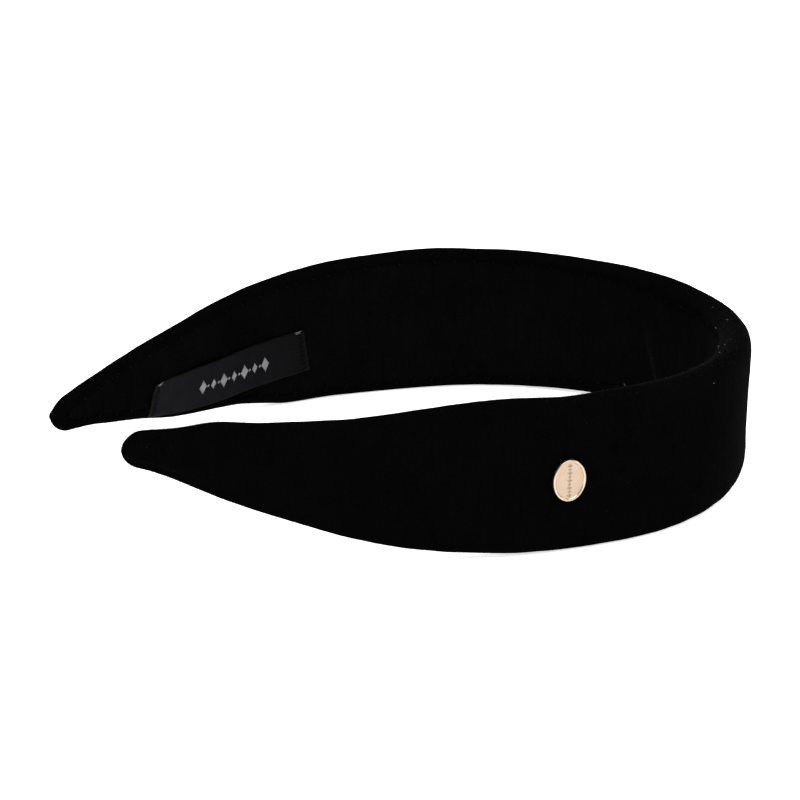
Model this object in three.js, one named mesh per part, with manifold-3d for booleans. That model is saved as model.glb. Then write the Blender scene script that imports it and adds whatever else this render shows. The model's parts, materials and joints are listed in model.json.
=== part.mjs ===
// A wide padded velvet headband, lying on its lower long edge.
// Millimetres, +Z along the band's width, +X towards the crown of the hoop, tips towards -X.
// The arm with the gold plaque is on the -Y side, the arm with the woven label on the +Y side.

import * as THREE from 'three';
import { mergeVertices } from 'three/addons/utils/BufferGeometryUtils.js';
import Module from 'manifold-3d';

const wasm = await Module();
wasm.setup();

// ---------- driving dimensions, mm ----------

// Plan of the hoop, measured along its head-side face from the middle of the crown.
const HALF_LENGTH = 195;
const CROWN_RADIUS = 55.5;
const CROWN_ANGLE = THREE.MathUtils.degToRad(81);
const SHOULDER_RADIUS = 129;
const SHOULDER_LENGTH = 67;

// Width of the band: constant, then a round taper to the tips.
const BAND_WIDTH = 37.4;
const TIP_WIDTH = 7.2;
const TAPER_START = 0.54;
const TAPER_POWER = 1.53;
const TAPER_SHARPNESS = 1.085;
const TIP_ROUNDING = 4;

// The two tips are slightly out of line: the plaque tip sits high and the label tip low.
const TIP_SKEW = 8;
const TIP_SKEW_POWER = 5;

// Layers, counted outwards from the head-side face.
const PAD_THICKNESS = 6.6;
const TIP_THICKNESS = 5.2;
const THINNING_START = 0.52;
const LINING_THICKNESS = 0.6;
const CLOTH_THICKNESS = 0.8;
const CORE_THICKNESS = 1.2;
const LAYER_GAP = 0.3;

// Section of the padded edge.
const EDGE_ROUND = 2.6;
const EDGE_HEIGHT_SHARE = 0.72;
const CROWNING_POWER = 2.4;
const HEM_LIP = 7;
const HEM_THICKNESS = 0.7;
const RECESS_INSET = 0.05;
const THREAD_RADIUS = 0.3;
const FOAM_EDGE = 0.15;
const FOAM_REACH = 0.96;

// Ends of the hidden layers, measured back from the tip.
const TIP_FOLD = 3;
const CORE_END = 6;
const FOAM_END = 14;
const CORE_SIDE_INSET = 1.9;
const LINING_END = 3.4;

// The pile is crushed flat where the lower edge rests.
const CRUSH_DEPTH = 0.15;

// The elastic arms are split from the crown where they bend.
const HINGE_S = 46;
const HINGE_GAP = 0.8;

// Gold plaque on the outside of one arm.
const PLAQUE_S = 95.5;
const PLAQUE_HEIGHT = 0;
const PLAQUE_SIZE = [8.1, 10];
const PLAQUE_FACE = 0.8;
const PLAQUE_RIM = { width: 0.6, height: 0.3 };
const PRONG = { width: 1.2, thickness: 0.5, spacing: 5.2, foot: 1.6 };
const WASHER = { size: [5.6, 7.8], thickness: 0.4 };
const FOAM_POCKET = { size: [7, 9.2], floor: 4 };
const PRONG_CLEARANCE = { washer: 0.15, cloth: 0.2 };
const STACK_GAP = 0.1;
const OVERLAP = 0.2;

// Woven label on the inside of the other arm.
const LABEL = { start: 118.8, end: 166.5, width: 10, height: -4.3, thickness: 0.35, rise: 1.9 };
const TACK = { inset: 1.2, margin: 0.9 };

// Length of one facet along the band.
const STEP = { crown: 7.5, arm: 9, thread: 9 };

// ---------- materials ----------

function material(color, roughness, metalness = 0) {
  return new THREE.MeshStandardMaterial({ color, roughness, metalness });
}

const velvet = material(0x0a0a0b, 0.95);
const liningVelvet = material(0x0c0c0d, 0.95);
const foamGrey = material(0x8f8f8c, 0.9);
const corePlastic = material(0x161616, 0.5);
const threadBlack = material(0x1b1b1d, 0.7);
const labelSatin = material(0x17171a, 0.5);
const plaqueGold = material(0xe3cba6, 0.25, 1);
const washerSteel = material(0xb9b9b6, 0.4, 1);

// ---------- the plan curve ----------

const crownLength = CROWN_RADIUS * CROWN_ANGLE;
const shoulderEnd = crownLength + SHOULDER_LENGTH;

function outward(angle) {
  return new THREE.Vector2(Math.cos(angle), -Math.sin(angle));
}

const crownCentre = new THREE.Vector2(-CROWN_RADIUS, 0);
const crownExit = crownCentre.clone().addScaledVector(outward(CROWN_ANGLE), CROWN_RADIUS);
const shoulderCentre = crownExit.clone().addScaledVector(outward(CROWN_ANGLE), -SHOULDER_RADIUS);
const endAngle = CROWN_ANGLE + SHOULDER_LENGTH / SHOULDER_RADIUS;
const shoulderExit = shoulderCentre.clone().addScaledVector(outward(endAngle), SHOULDER_RADIUS);

// Point and outward direction at distance s from the crown; s > 0 is the plaque arm.
function planAt(s) {
  const run = Math.abs(s);
  const side = s < 0 ? -1 : 1;
  let angle = endAngle;
  let point;
  if (run <= crownLength) {
    angle = run / CROWN_RADIUS;
    point = crownCentre.clone().addScaledVector(outward(angle), CROWN_RADIUS);
  } else if (run <= shoulderEnd) {
    angle = CROWN_ANGLE + (run - crownLength) / SHOULDER_RADIUS;
    point = shoulderCentre.clone().addScaledVector(outward(angle), SHOULDER_RADIUS);
  } else {
    const along = new THREE.Vector2(-Math.sin(angle), -Math.cos(angle));
    point = shoulderExit.clone().addScaledVector(along, run - shoulderEnd);
  }
  const normal = outward(angle);
  point.y *= side;
  normal.y *= side;
  return { point, normal };
}

function place(s, offset, height) {
  const { point, normal } = planAt(s);
  const share = Math.abs(s) / HALF_LENGTH;
  const skew = Math.sign(s) * TIP_SKEW * share ** TIP_SKEW_POWER;
  return new THREE.Vector3(
    point.x + normal.x * offset,
    point.y + normal.y * offset,
    height + skew,
  );
}

// ---------- sizes along the band ----------

function tipRoundness(s) {
  const into = THREE.MathUtils.clamp((Math.abs(s) - (HALF_LENGTH - TIP_ROUNDING)) / TIP_ROUNDING, 0, 1);
  return Math.sqrt(Math.max(1 - into * into, 0.04));
}

function halfWidth(s) {
  const share = Math.abs(s) / HALF_LENGTH;
  const taper = THREE.MathUtils.clamp((share - TAPER_START) / (1 - TAPER_START), 0, 1);
  const open = (1 - taper ** TAPER_POWER) ** TAPER_SHARPNESS;
  return 0.5 * (TIP_WIDTH + (BAND_WIDTH - TIP_WIDTH) * open);
}

function thickness(s) {
  const share = Math.abs(s) / HALF_LENGTH;
  const thinning = THREE.MathUtils.clamp((share - THINNING_START) / (1 - THINNING_START), 0, 1);
  return PAD_THICKNESS + (TIP_THICKNESS - PAD_THICKNESS) * thinning;
}

function edgeRound(s) {
  return Math.min(EDGE_ROUND, 0.5 * halfWidth(s));
}

const lipOffset = LINING_THICKNESS + LAYER_GAP;
const cavityOffset = lipOffset + HEM_THICKNESS;
const coreOffset = cavityOffset + LAYER_GAP;
const foamOffset = coreOffset + CORE_THICKNESS + LAYER_GAP;

// ---------- sections: rings of [offset, height] across the band ----------

// The padded contour, drawn in by inset: a round edge, a crowned outer face, a round edge.
function contour(s, inset, arcSteps, faceSteps) {
  const round = edgeRound(s);
  const flank = halfWidth(s) - round;
  const top = thickness(s) * EDGE_HEIGHT_SHARE;
  const middle = (top + LAYER_GAP) / 2;
  const rise = middle - LAYER_GAP - inset;
  const ring = [];
  for (let i = 0; i <= arcSteps; i += 1) {
    const turn = Math.PI * (i / arcSteps);
    ring.push([middle - rise * Math.cos(turn), -flank - (round - inset) * Math.sin(turn)]);
  }
  for (let i = 1; i < faceSteps; i += 1) {
    const across = (2 * i) / faceSteps - 1;
    const crowning = (thickness(s) - top) * (1 - Math.abs(across) ** CROWNING_POWER);
    ring.push([top - inset + crowning, across * flank]);
  }
  for (let i = 0; i <= arcSteps; i += 1) {
    const turn = Math.PI * (1 - i / arcSteps);
    ring.push([middle - rise * Math.cos(turn), flank + (round - inset) * Math.sin(turn)]);
  }
  return ring;
}

// Half the width of the recess that holds the lining between its two rows of stitches.
function recessHalf(s) {
  return halfWidth(s) - edgeRound(s) - RECESS_INSET;
}

function threadHeight(s) {
  return recessHalf(s) - LAYER_GAP - THREAD_RADIUS;
}

function liningHalf(s) {
  return threadHeight(s) - THREAD_RADIUS - LAYER_GAP;
}

const floorHeight = -BAND_WIDTH / 2 + CRUSH_DEPTH;

function coverSection(s) {
  const shrink = tipRoundness(s);
  const share = Math.abs(s) / HALF_LENGTH;
  const skew = Math.sign(s) * TIP_SKEW * share ** TIP_SKEW_POWER;
  const ring = contour(s, 0, 7, 8);
  ring.push([lipOffset, recessHalf(s)]);
  ring.push([lipOffset, -recessHalf(s)]);
  return ring.map(([offset, height]) => {
    const middle = thickness(s) / 2;
    const low = floorHeight - skew;
    return [middle + (offset - middle) * (0.5 + 0.5 * shrink), Math.max(height * shrink, low)];
  });
}

function cavitySection(s) {
  return contour(s, CLOTH_THICKNESS, 4, 8).map(([offset, height]) => [
    Math.max(offset, cavityOffset),
    height,
  ]);
}

function slab(low, high, half) {
  return [[low, -half], [high, -half], [high, half], [low, half]];
}

function slotSection(s) {
  return slab(-1, cavityOffset + OVERLAP, Math.max(halfWidth(s) - HEM_LIP - EDGE_ROUND, 0.6));
}

function liningSection(s) {
  const shrink = tipRoundness(Math.abs(s) + LINING_END);
  return slab(0, LINING_THICKNESS, liningHalf(s) * shrink);
}

// How far from mid width the cover's crowned inside stays clear above a layer's top.
function reachUnderCover(s, layerTop) {
  const edgeTop = thickness(s) * EDGE_HEIGHT_SHARE;
  const crownHeight = thickness(s) - edgeTop;
  const lacking = layerTop + LAYER_GAP + CLOTH_THICKNESS - edgeTop;
  if (lacking <= 0) {
    return Infinity;
  }
  const across = (1 - lacking / crownHeight) ** (1 / CROWNING_POWER);
  return across * (halfWidth(s) - edgeRound(s));
}

function coreSection(s) {
  const shrink = tipRoundness(Math.abs(s) + CORE_END);
  const coreTop = coreOffset + CORE_THICKNESS;
  const half = Math.min(halfWidth(s) - CORE_SIDE_INSET, reachUnderCover(s, coreTop));
  return slab(coreOffset, coreTop, half * shrink);
}

function foamSection(s) {
  const edgeTop = thickness(s) * EDGE_HEIGHT_SHARE;
  const crownHeight = thickness(s) - edgeTop;
  const flank = halfWidth(s) - edgeRound(s);
  const reach = Math.min(reachUnderCover(s, foamOffset + FOAM_EDGE) / flank, FOAM_REACH);
  const ring = [[foamOffset, -flank * reach]];
  const faceSteps = 6;
  for (let i = 0; i <= faceSteps; i += 1) {
    const across = ((2 * i) / faceSteps - 1) * reach;
    const crowning = crownHeight * (1 - Math.abs(across) ** CROWNING_POWER);
    ring.push([edgeTop - CLOTH_THICKNESS - LAYER_GAP + crowning, across * flank]);
  }
  ring.push([foamOffset, flank * reach]);
  return ring;
}

function threadSection(s, edge) {
  const ring = [];
  for (let i = 0; i < 6; i += 1) {
    const turn = (Math.PI / 3) * i;
    ring.push([
      LAYER_GAP + 0.1 + THREAD_RADIUS * Math.sin(turn),
      edge * threadHeight(s) + THREAD_RADIUS * Math.cos(turn),
    ]);
  }
  return ring;
}

function labelSection(s) {
  const along = (s + LABEL.end) / (LABEL.end - LABEL.start);
  const centre = LABEL.height + LABEL.rise * (along - 0.5);
  const back = -LAYER_GAP;
  return slab(back - LABEL.thickness, back, LABEL.width / 2).map(([offset, height]) => [
    offset,
    height + centre,
  ]);
}

// ---------- solids ----------

function stations(start, end, step) {
  const list = [];
  const count = Math.max(2, Math.ceil(Math.abs(end - start) / step));
  for (let i = 0; i <= count; i += 1) {
    list.push(start + ((end - start) * i) / count);
  }
  return list;
}

// Extra stations close to a rounded tip.
function armStations(start, end, step) {
  const tipSpan = TIP_ROUNDING * Math.sign(end);
  const list = stations(start, end - tipSpan, step);
  for (const share of [0.5, 0.8, 0.95, 1]) {
    list.push(end - tipSpan + tipSpan * share);
  }
  return list;
}

// Triangles over a ring of [offset, height], turning the same way as the ring does.
function capTriangles(ring) {
  const outline = ring.map(([offset, height]) => new THREE.Vector2(offset, height));
  const doubleArea = ([a, b, c]) => outline[b].clone().sub(outline[a]).cross(outline[c].clone().sub(outline[a]));
  const ringTurn = Math.sign(THREE.ShapeUtils.area(outline));
  return THREE.ShapeUtils.triangulateShape(outline, []).map(([a, b, c]) => (
    Math.sign(doubleArea([a, b, c])) === ringTurn ? [a, b, c] : [a, c, b]
  ));
}

// A closed mesh through the section's rings, from station to station.
function loft(stationList, section) {
  const rings = stationList.map((s) => section(s).map(([offset, height]) => place(s, offset, height)));
  const size = rings[0].length;
  const positions = rings.flat().flatMap((v) => [v.x, v.y, v.z]);
  const faces = [];
  for (let i = 0; i + 1 < rings.length; i += 1) {
    for (let j = 0; j < size; j += 1) {
      const next = (j + 1) % size;
      const a = i * size + j;
      const b = i * size + next;
      faces.push(a, b, a + size, b, b + size, a + size);
    }
  }
  const last = (rings.length - 1) * size;
  for (const [a, b, c] of capTriangles(section(stationList[0]))) {
    faces.push(a, c, b);
  }
  for (const [a, b, c] of capTriangles(section(stationList.at(-1)))) {
    faces.push(last + a, last + b, last + c);
  }
  return solidFrom(positions, faces);
}

function signedVolume(positions, faces) {
  let volume = 0;
  const corner = (k) => new THREE.Vector3().fromArray(positions, faces[k] * 3);
  for (let i = 0; i < faces.length; i += 3) {
    volume += corner(i).dot(corner(i + 1).cross(corner(i + 2)));
  }
  return volume / 6;
}

function solidFrom(positions, faces) {
  const turned = signedVolume(positions, faces) < 0;
  const order = turned ? faces.map((_, i) => faces[i - (i % 3) + (2 - (i % 3))]) : faces;
  return new wasm.Manifold(new wasm.Mesh({
    numProp: 3,
    vertProperties: new Float32Array(positions),
    triVerts: new Uint32Array(order),
  }));
}

function solidOf(geometry) {
  const bare = geometry.clone();
  bare.deleteAttribute('normal');
  bare.deleteAttribute('uv');
  const merged = mergeVertices(bare, 1e-4);
  return solidFrom(Array.from(merged.attributes.position.array), Array.from(merged.index.array));
}

function geometryOf(solid) {
  const mesh = solid.getMesh();
  const geometry = new THREE.BufferGeometry();
  geometry.setAttribute('position', new THREE.BufferAttribute(mesh.vertProperties, 3));
  geometry.setIndex(new THREE.BufferAttribute(mesh.triVerts, 1));
  geometry.computeVertexNormals();
  return geometry;
}

const headband = new THREE.Group();

function add(name, solid, look) {
  const mesh = new THREE.Mesh(geometryOf(solid), look);
  mesh.name = name;
  headband.add(mesh);
}

// ---------- small hardware of the plaque, in the plaque's own frame ----------

// x runs along the band, y up its width, z outwards from the head-side face.
function ovalPlate([width, height], low, high) {
  const shape = new THREE.Shape();
  shape.absellipse(0, 0, width / 2, height / 2, 0, Math.PI * 2, false, 0);
  const geometry = new THREE.ExtrudeGeometry(shape, {
    depth: high - low,
    bevelEnabled: false,
    curveSegments: 20,
  });
  geometry.translate(0, 0, low);
  return solidOf(geometry);
}

function block(size, centre) {
  const geometry = new THREE.BoxGeometry(...size);
  geometry.translate(...centre);
  return solidOf(geometry);
}

// The frame of the plaque on the band's outer face.
function plaqueFrame() {
  const { point, normal } = planAt(PLAQUE_S);
  const skew = TIP_SKEW * (PLAQUE_S / HALF_LENGTH) ** TIP_SKEW_POWER;
  const out = new THREE.Vector3(normal.x, normal.y, 0);
  const up = new THREE.Vector3(0, 0, 1);
  const along = up.clone().cross(out);
  const frame = new THREE.Matrix4().makeBasis(along, up, out);
  frame.setPosition(point.x, point.y, PLAQUE_HEIGHT + skew);
  return frame;
}

function inPlaqueFrame(solid) {
  const mesh = solid.getMesh();
  const frame = plaqueFrame();
  const positions = [];
  for (let i = 0; i < mesh.vertProperties.length; i += 3) {
    positions.push(...new THREE.Vector3().fromArray(mesh.vertProperties, i).applyMatrix4(frame).toArray());
  }
  return solidFrom(positions, Array.from(mesh.triVerts));
}

const plaqueBase = PAD_THICKNESS + LAYER_GAP;
const plaqueTop = plaqueBase + PLAQUE_FACE;
const washerTop = PAD_THICKNESS - CLOTH_THICKNESS - LAYER_GAP - STACK_GAP;
const washerBase = washerTop - WASHER.thickness;
const footTop = washerBase - STACK_GAP;
const footBase = footTop - PRONG.thickness;

function prongs(clearance) {
  const parts = [];
  for (const side of [-1, 1]) {
    const reach = plaqueBase + OVERLAP - footBase + clearance;
    const centre = [0, (side * PRONG.spacing) / 2, plaqueBase + OVERLAP - reach / 2];
    parts.push(block([PRONG.width + 2 * clearance, PRONG.thickness + 2 * clearance, reach], centre));
  }
  return parts;
}

function plaqueSolid() {
  const rimInner = PLAQUE_SIZE.map((side) => side - 2 * PLAQUE_RIM.width);
  let plaque = ovalPlate(PLAQUE_SIZE, plaqueBase, plaqueTop + PLAQUE_RIM.height)
    .subtract(ovalPlate(rimInner, plaqueTop, plaqueTop + 1));
  for (const leg of prongs(0)) {
    plaque = plaque.add(leg);
  }
  for (const side of [-1, 1]) {
    const centre = [0, side * (PRONG.spacing / 2 - PRONG.foot / 2), footBase + PRONG.thickness / 2];
    plaque = plaque.add(block([PRONG.width, PRONG.foot, PRONG.thickness], centre));
  }
  return plaque;
}

function washerSolid() {
  let washer = ovalPlate(WASHER.size, washerBase, washerTop);
  for (const leg of prongs(PRONG_CLEARANCE.washer)) {
    washer = washer.subtract(leg);
  }
  return washer;
}

// ---------- the band's layers, split into the crown and the two elastic arms ----------

const SEGMENTS = [
  { name: 'crown', start: -HINGE_S + HINGE_GAP, end: HINGE_S - HINGE_GAP, tip: 0 },
  { name: 'plaque_arm', start: HINGE_S + HINGE_GAP, end: HALF_LENGTH, tip: 1 },
  { name: 'label_arm', start: -HINGE_S - HINGE_GAP, end: -HALF_LENGTH, tip: -1 },
];

// Stations from the segment's first end to its last, drawn back from the tip by short.
function layerStations(segment, short, reach = 0) {
  if (segment.tip === 0) {
    return stations(segment.start - reach, segment.end + reach, STEP.crown);
  }
  const start = segment.start - segment.tip * reach;
  const end = segment.end - segment.tip * short;
  return armStations(start, end, STEP.arm);
}

function coverSolid(segment) {
  const cavity = loft(layerStations(segment, TIP_FOLD + TIP_ROUNDING / 2, 1), cavitySection);
  const slot = loft(layerStations(segment, TIP_FOLD + TIP_ROUNDING, 1), slotSection);
  return loft(layerStations(segment, 0), coverSection).subtract(cavity).subtract(slot);
}

for (const segment of SEGMENTS) {
  const isPlaqueArm = segment.name === 'plaque_arm';
  let cover = coverSolid(segment);
  let foam = loft(
    segment.tip === 0
      ? layerStations(segment, 0)
      : stations(segment.start, segment.end - segment.tip * FOAM_END, STEP.arm),
    foamSection,
  );
  if (isPlaqueArm) {
    for (const leg of prongs(PRONG_CLEARANCE.cloth)) {
      cover = cover.subtract(inPlaqueFrame(leg));
    }
    foam = foam.subtract(inPlaqueFrame(ovalPlate(FOAM_POCKET.size, FOAM_POCKET.floor, PAD_THICKNESS)));
  }
  add(`hoop_core_${segment.name}`, loft(layerStations(segment, CORE_END), coreSection), corePlastic);
  add(`foam_pad_${segment.name}`, foam, foamGrey);
  add(`outer_cover_${segment.name}`, cover, velvet);
  add(`lining_${segment.name}`, loft(layerStations(segment, LINING_END), liningSection), liningVelvet);
  const threadStations = segment.tip === 0
    ? layerStations(segment, 0)
    : stations(segment.start, segment.end - segment.tip * (LINING_END + TIP_ROUNDING), STEP.thread);
  for (const [edgeName, edge] of [['upper', 1], ['lower', -1]]) {
    const thread = loft(threadStations, (s) => threadSection(s, edge));
    add(`edge_stitch_${edgeName}_${segment.name}`, thread, threadBlack);
  }
}

add('gold_plaque', inPlaqueFrame(plaqueSolid()), plaqueGold);
add('plaque_washer', inPlaqueFrame(washerSolid()), washerSteel);

add('woven_label', loft(stations(-LABEL.end, -LABEL.start, 6), labelSection), labelSatin);

// A row of tacking thread over each end of the label.
for (const [endName, s] of [['tip_end', -LABEL.end + TACK.inset], ['crown_end', -LABEL.start - TACK.inset]]) {
  const face = -LAYER_GAP - LABEL.thickness - LAYER_GAP;
  const tackSection = (at) => slab(face - 2 * THREAD_RADIUS, face, LABEL.width / 2 - TACK.margin)
    .map(([offset, height]) => [offset, height + labelSection(at)[0][1] + LABEL.width / 2]);
  add(`label_tack_${endName}`, loft([s - THREAD_RADIUS, s + THREAD_RADIUS], tackSection), threadBlack);
}

// ---------- the origin: middle of the whole thing's plan, on the surface it stands on ----------

const bounds = new THREE.Box3().setFromObject(headband);
const middle = bounds.getCenter(new THREE.Vector3());
headband.position.set(-middle.x, -middle.y, -bounds.min.z);

export default headband;
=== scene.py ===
"""A wide padded black velvet headband: looks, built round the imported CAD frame.

Lengths are written in millimetres and turned into metres where they are placed.
s runs along the band from the middle of the crown: s > 0 is the plaque arm (-Y side) and
s < 0 the label arm (+Y side). Offset runs outwards from the face that touches the head, and
height runs across the band's width from its middle line.
"""

import json
import math

import bmesh
import bpy
import numpy as np
from mathutils import Matrix, Vector, noise


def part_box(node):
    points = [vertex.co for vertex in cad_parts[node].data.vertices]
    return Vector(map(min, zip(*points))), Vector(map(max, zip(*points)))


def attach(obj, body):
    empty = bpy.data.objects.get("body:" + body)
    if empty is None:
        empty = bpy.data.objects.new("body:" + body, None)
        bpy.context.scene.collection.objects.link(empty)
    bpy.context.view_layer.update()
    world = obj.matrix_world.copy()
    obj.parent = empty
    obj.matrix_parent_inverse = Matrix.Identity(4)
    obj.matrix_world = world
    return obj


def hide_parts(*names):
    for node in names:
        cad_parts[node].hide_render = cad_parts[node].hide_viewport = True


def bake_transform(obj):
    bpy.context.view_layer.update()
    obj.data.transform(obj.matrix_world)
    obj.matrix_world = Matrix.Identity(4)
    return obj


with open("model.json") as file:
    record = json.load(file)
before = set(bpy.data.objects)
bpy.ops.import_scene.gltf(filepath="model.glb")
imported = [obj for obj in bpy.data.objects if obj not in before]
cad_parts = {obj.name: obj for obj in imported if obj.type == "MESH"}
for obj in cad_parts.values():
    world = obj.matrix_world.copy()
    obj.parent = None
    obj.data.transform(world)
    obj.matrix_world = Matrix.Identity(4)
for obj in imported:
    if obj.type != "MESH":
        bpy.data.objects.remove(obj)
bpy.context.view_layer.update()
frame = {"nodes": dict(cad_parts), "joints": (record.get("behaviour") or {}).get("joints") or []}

MM = 0.001
SEED = 7
SIDES = (("plaque", 1), ("label", -1))
EDGES = (("upper", 1), ("lower", -1))

# --- driving dimensions of the band, mm (as in the CAD source) ---

HALF_LENGTH = 195.0
CROWN_RADIUS = 55.5
CROWN_ANGLE = math.radians(81)
SHOULDER_RADIUS = 129.0
SHOULDER_LENGTH = 67.0
BAND_WIDTH = 37.4
TIP_WIDTH = 7.2
TAPER_START = 0.54
TAPER_POWER = 1.53
TAPER_SHARPNESS = 1.085
TIP_ROUNDING = 4.0
TIP_SKEW = 8.0
TIP_SKEW_POWER = 5
PAD_THICKNESS = 6.6
TIP_THICKNESS = 5.2
THINNING_START = 0.52
CLOTH_THICKNESS = 0.8
EDGE_ROUND = 2.6
EDGE_HEIGHT_SHARE = 0.72
CROWNING_POWER = 2.4

# Bent round the crown, the padding is pressed thinner in the middle, squarer and a little narrower.
CROWN_SPREAD = 39.0
CROWN_FLATTENING = 0.52
CROWN_THINNING = 1.4
CROWN_ROUNDING = 3.2
CROWN_NARROWING = {"upper": 0.95, "lower": 2.15}

# On the inside of the bend the upper edge bunches up towards the head.
BUNCHING = 2.1
BUNCHING_S = 24.0
BUNCHING_SPREAD = 24.0
BUNCHING_SHARES = (0, 0, 0, 0, 0.5, 1, 1, 0.85, 0.5, 0.2)

LIP_OFFSET = 0.9
LAYER_GAP = 0.3
LINING_END = 3.4
LINING_ROUNDING = 6.0
FOAM_OFFSET = 3.4
FOAM_END = 14.0
LABEL_LENGTH = 48.0
LABEL_WIDTH = 10.2
HINGE_S = 46.0
HINGE_OFFSET = 2.5

# Where the soft edge swells out or is drawn in: (distance from the crown, rise, spread), mm.
EDGE_WAVES = {
    ("plaque", "upper"): [(174, 1.2, 7), (143, -0.65, 11), (115, 0.3, 10), (94, -0.5, 8)],
    ("plaque", "lower"): [(183, 0.6, 8), (140, -0.3, 12), (112, 0.35, 10)],
    ("label", "upper"): [(158, -0.4, 14), (86, 0.7, 11), (45, -0.35, 12)],
    ("label", "lower"): [(185, 0.3, 5), (158, -0.9, 9), (137, 0.45, 5), (123, -0.55, 5), (109, 0.4, 7)],
}
TIP_DROOP = {"plaque": [(195, -1.0, 3.5)], "label": []}

# Distance on both sides of each arm's hinge to where its bend would start and end; no bend is applied.
BEND_SPREAD = 25.0

STITCH_PITCH = 5.0
STITCH_LENGTH = 1.2
STITCH_RADIUS = 0.13


# --- the band's plan ---

def outward(angle):
    return np.stack([np.cos(angle), -np.sin(angle)], -1)


def plan(s):
    """Points and outward directions at signed distances s from the crown, before the origin's shift."""
    run = np.abs(s)
    crown_length = CROWN_RADIUS * CROWN_ANGLE
    shoulder_end = crown_length + SHOULDER_LENGTH
    end_angle = CROWN_ANGLE + SHOULDER_LENGTH / SHOULDER_RADIUS
    crown_centre = np.array([-CROWN_RADIUS, 0.0])
    crown_exit = crown_centre + outward(CROWN_ANGLE) * CROWN_RADIUS
    shoulder_centre = crown_exit - outward(CROWN_ANGLE) * SHOULDER_RADIUS
    shoulder_exit = shoulder_centre + outward(end_angle) * SHOULDER_RADIUS
    along = np.array([-math.sin(end_angle), -math.cos(end_angle)])
    angle = np.where(
        run <= crown_length,
        run / CROWN_RADIUS,
        np.minimum(CROWN_ANGLE + (run - crown_length) / SHOULDER_RADIUS, end_angle),
    )
    on_crown = crown_centre + outward(angle) * CROWN_RADIUS
    on_shoulder = shoulder_centre + outward(angle) * SHOULDER_RADIUS
    on_straight = shoulder_exit + (run - shoulder_end)[..., None] * along
    points = np.where((run <= crown_length)[..., None], on_crown, on_shoulder)
    points = np.where((run > shoulder_end)[..., None], on_straight, points)
    mirror = np.stack([np.ones_like(run), np.where(s < 0, -1.0, 1.0)], -1)
    return points * mirror, outward(angle) * mirror


def frame_origin():
    """Where the middle of the crown's head-side face is in the row frame, mm, from the hinges."""
    hinges = np.array([joint["pos_m"] for joint in frame["joints"]]) / MM
    point, normal = plan(np.array([HINGE_S]))
    hinge_x = point[0, 0] + normal[0, 0] * HINGE_OFFSET
    core_low, core_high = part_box("hoop_core_crown")
    return np.array([
        hinges[:, 0].mean() - hinge_x,
        hinges[:, 1].mean(),
        (core_low.z + core_high.z) / 2 / MM,
    ])


ORIGIN = frame_origin()


# --- sizes along the band ---

def swell(s, at, spread):
    """A smooth hump, 1 at its middle."""
    return np.exp(-(((s - at) / spread) ** 2))


def near_crown(s):
    return swell(s, 0, CROWN_SPREAD)


def edge_share(s):
    """How far out the edge's rounding ends, as a share of the thickness."""
    return EDGE_HEIGHT_SHARE + CROWN_FLATTENING * near_crown(s)


def half_width(s):
    share = np.abs(s) / HALF_LENGTH
    taper = np.clip((share - TAPER_START) / (1 - TAPER_START), 0, 1)
    return 0.5 * (TIP_WIDTH + (BAND_WIDTH - TIP_WIDTH) * (1 - taper**TAPER_POWER) ** TAPER_SHARPNESS)


def thickness(s):
    share = np.abs(s) / HALF_LENGTH
    thinning = np.clip((share - THINNING_START) / (1 - THINNING_START), 0, 1)
    return PAD_THICKNESS + (TIP_THICKNESS - PAD_THICKNESS) * thinning - CROWN_THINNING * near_crown(s)


def edge_round(s):
    return np.minimum(EDGE_ROUND + CROWN_ROUNDING * near_crown(s), 0.5 * half_width(s))


def round_end(s, end, rounding):
    """1 along the band, closing to 0 in a round end."""
    past = np.clip((np.abs(s) - (end - rounding)) / rounding, 0, 1)
    return np.sqrt(1 - past**2)


def recess_half(s):
    """Half the width of the lining's recess, closing in a round end short of the tip."""
    return (half_width(s) - edge_round(s)) * round_end(s, HALF_LENGTH - LINING_END, LINING_ROUNDING)


def bumps(run, waves):
    return sum((rise * swell(run, at, spread) for at, rise, spread in waves), 0 * run)


def edge_lift(s, height):
    """How far the cloth stands above its plain outline, from the edge waves, mm."""
    run = np.abs(s)
    lift = np.zeros(np.broadcast(s, height).shape)
    for side, sign in SIDES:
        on_side = (s * sign > 0).astype(float)
        for edge, up in EDGES:
            nearness = np.clip(up * height / half_width(s), 0, 1) ** 1.5
            lift = lift + on_side * nearness * bumps(run, EDGE_WAVES[side, edge])
            lift = lift - 0.5 * up * nearness * CROWN_NARROWING[edge] * near_crown(s)
        lift = lift + on_side * bumps(run, TIP_DROOP[side])
    return lift


def place(s, offset, height):
    """Points of the row frame, in metres, for band coordinates in mm."""
    s, offset, height = np.broadcast_arrays(s, offset, height)
    point, normal = plan(s)
    flat = point + normal * offset[..., None]
    skew = np.sign(s) * TIP_SKEW * (np.abs(s) / HALF_LENGTH) ** TIP_SKEW_POWER
    z = np.maximum(height + skew + edge_lift(s, height), -ORIGIN[2])
    return np.concatenate([flat, z[..., None]], -1) * MM + ORIGIN * MM


# --- mesh helpers ---

def smooth(value):
    value = np.clip(value, 0, 1)
    return value * value * (3 - 2 * value)


def grid_faces(rows, columns, closed=False):
    """Quads of a grid whose index is row * columns + column; closed joins the last column to the first."""
    r, c = np.meshgrid(np.arange(rows - 1), np.arange(columns if closed else columns - 1), indexing="ij")
    here, beside = r * columns + c, r * columns + (c + 1) % columns
    return np.stack([here, beside, beside + columns, here + columns], -1).reshape(-1, 4).tolist()


def tube_faces(rows, columns, far_cap=True):
    """Faces of a tube made of rows of rings, closed by a cap at its near end and maybe at its far end."""
    faces = grid_faces(rows, columns, closed=True) + [list(range(columns))]
    return faces + [list(range((rows - 1) * columns, rows * columns))] if far_cap else faces


def ring(front, back):
    """Rows that run along the front and return along the back."""
    return np.concatenate([front, back[:, ::-1]], 1)


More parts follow.
